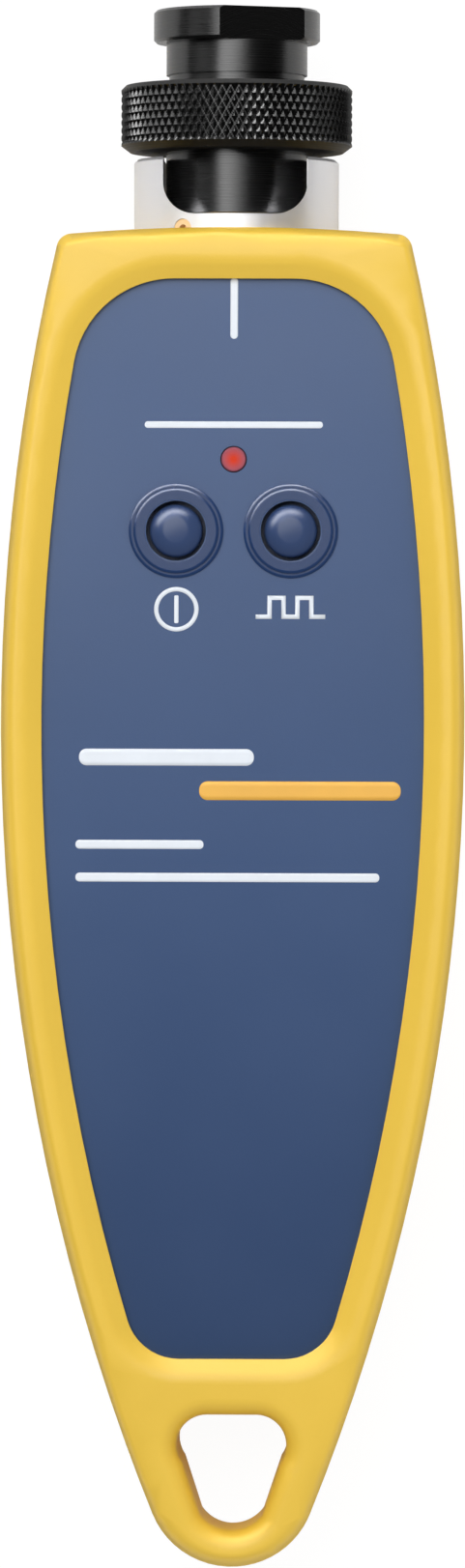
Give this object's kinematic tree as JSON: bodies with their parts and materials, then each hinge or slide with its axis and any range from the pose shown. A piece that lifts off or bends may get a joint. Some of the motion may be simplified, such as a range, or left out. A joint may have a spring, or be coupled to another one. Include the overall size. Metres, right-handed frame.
{
  "type": "visual fault locator",
  "caption": "Pocket visual fault locator: slate case in a yellow rubber boot with a lanyard loop, two press buttons, a status light and a black screw-on fibre port.",
  "frame": {"origin": "under the middle of the length and width, on the surface that the boot's back rests on", "axes": "+Y along the tool towards the fibre port, +Z out of the front face, +X to the right seen from the front"},
  "size_m": [0.0416, 0.141, 0.024],
  "materials": {
    "boot": "matt moulded rubber, warm yellow",
    "front_shell": "satin moulded plastic, slate blue",
    "rear_shell": "satin moulded plastic, slate blue",
    "case_screws": "zinc-plated steel",
    "battery_door": "satin moulded plastic, slate blue",
    "buttons": "satin moulded plastic, slate blue",
    "switch_body": "black moulded plastic",
    "switch_stem": "black moulded plastic",
    "indicator": "red tinted clear plastic",
    "led": "clear epoxy on a white body",
    "board": "green solder resist",
    "board_parts": "black moulded packages",
    "cells": "printed metal jacket",
    "contacts": "nickel-plated spring steel",
    "collar": "fine satin, bare",
    "set_screws": "plain brass",
    "laser_housing": "plain turned brass",
    "laser_diode": "gold-plated can",
    "laser_lens": "clear glass",
    "ceramic": "polished white ceramic",
    "adapter_barrel": "black anodised, turned",
    "knurled_ring": "black anodised, knurled"
  },
  "bodies": {
    "case": {"boot": "boot", "front_shell": "front_shell", "rear_shell": "rear_shell", "case_screws": "case_screws", "power_switch": "switch_body", "flash_switch": "switch_body", "indicator_lens": "indicator", "indicator_led": "led", "circuit_board": "board", "board_parts": "board_parts", "left_cell": "cells", "right_cell": "cells", "tail_contact": "contacts", "positive_contact": "contacts", "negative_contact": "contacts", "collar": "collar", "set_screws": "set_screws", "laser_housing": "laser_housing", "laser_diode": "laser_diode", "laser_lens": "laser_lens", "ferrule_stub": "ceramic"},
    "power_key": {"power_button": "buttons", "power_switch_stem": "switch_stem"},
    "flash_key": {"flash_button": "buttons", "flash_switch_stem": "switch_stem"},
    "door": {"battery_door": "battery_door"},
    "sleeve": {"alignment_sleeve": "ceramic"},
    "port_adapter": {"adapter_barrel": "adapter_barrel", "knurled_ring": "knurled_ring"}
  },
  "joints": [
    {"name": "power_press", "type": "slide", "parent": "case", "child": "power_key", "axis": [0, 0, -1], "range_m": [0, 0.0005], "stiffness_N_per_m": 4000},
    {"name": "flash_press", "type": "slide", "parent": "case", "child": "flash_key", "axis": [0, 0, -1], "range_m": [0, 0.0005], "stiffness_N_per_m": 4000},
    {"name": "door_tilt", "type": "hinge", "parent": "case", "child": "door", "pos_m": [0, -0.0217, 0.0016], "axis": [-1, 0, 0], "range_deg": [0, 60]},
    {"name": "adapter_lift", "type": "slide", "parent": "case", "child": "sleeve", "axis": [0, 1, 0], "range_m": [0, 0.004]},
    {"name": "adapter_turn", "type": "hinge", "parent": "sleeve", "child": "port_adapter", "pos_m": [0, 0, 0.0117], "axis": [0, 1, 0], "range_deg": [0, 1920]}
  ],
  "couplings": [
    {"joint": "adapter_lift", "follows": "adapter_turn", "m_per_rad": 0.00011936}
  ]
}
